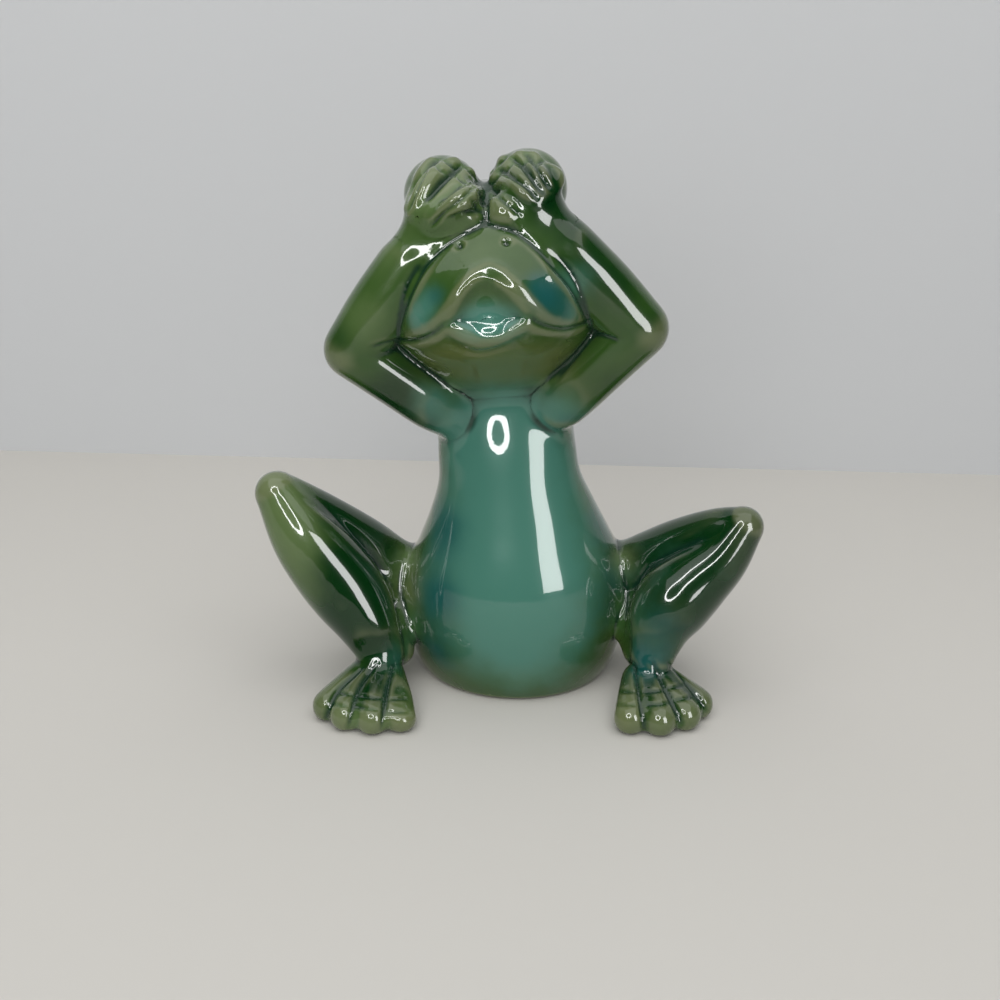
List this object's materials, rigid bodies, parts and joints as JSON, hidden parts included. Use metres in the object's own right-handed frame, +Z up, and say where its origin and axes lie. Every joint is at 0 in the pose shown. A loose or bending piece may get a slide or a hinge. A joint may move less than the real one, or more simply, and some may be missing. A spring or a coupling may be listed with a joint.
{
  "type": "frog figurine",
  "caption": "Seated glazed ceramic frog ornament with its hands over its eyes and its legs folded out sideways, hollow cast, standing on a flat base.",
  "frame": {"origin": "on the table under the middle of the outline", "axes": "+Z up, -Y the way the frog faces, +X to the right of someone who looks at its face"},
  "size_m": [0.1316, 0.0725, 0.1374],
  "materials": {
    "green_glaze": "glossy lustre glaze",
    "teal_glaze": "glossy lustre glaze"
  },
  "bodies": {
    "root": {"torso": "teal_glaze", "head": "green_glaze", "tongue": "teal_glaze", "left_arm": "green_glaze", "right_arm": "green_glaze", "left_hand": "green_glaze", "right_hand": "green_glaze", "left_leg": "green_glaze", "right_leg": "green_glaze", "left_foot": "green_glaze", "right_foot": "green_glaze"}
  },
  "joints": []
}
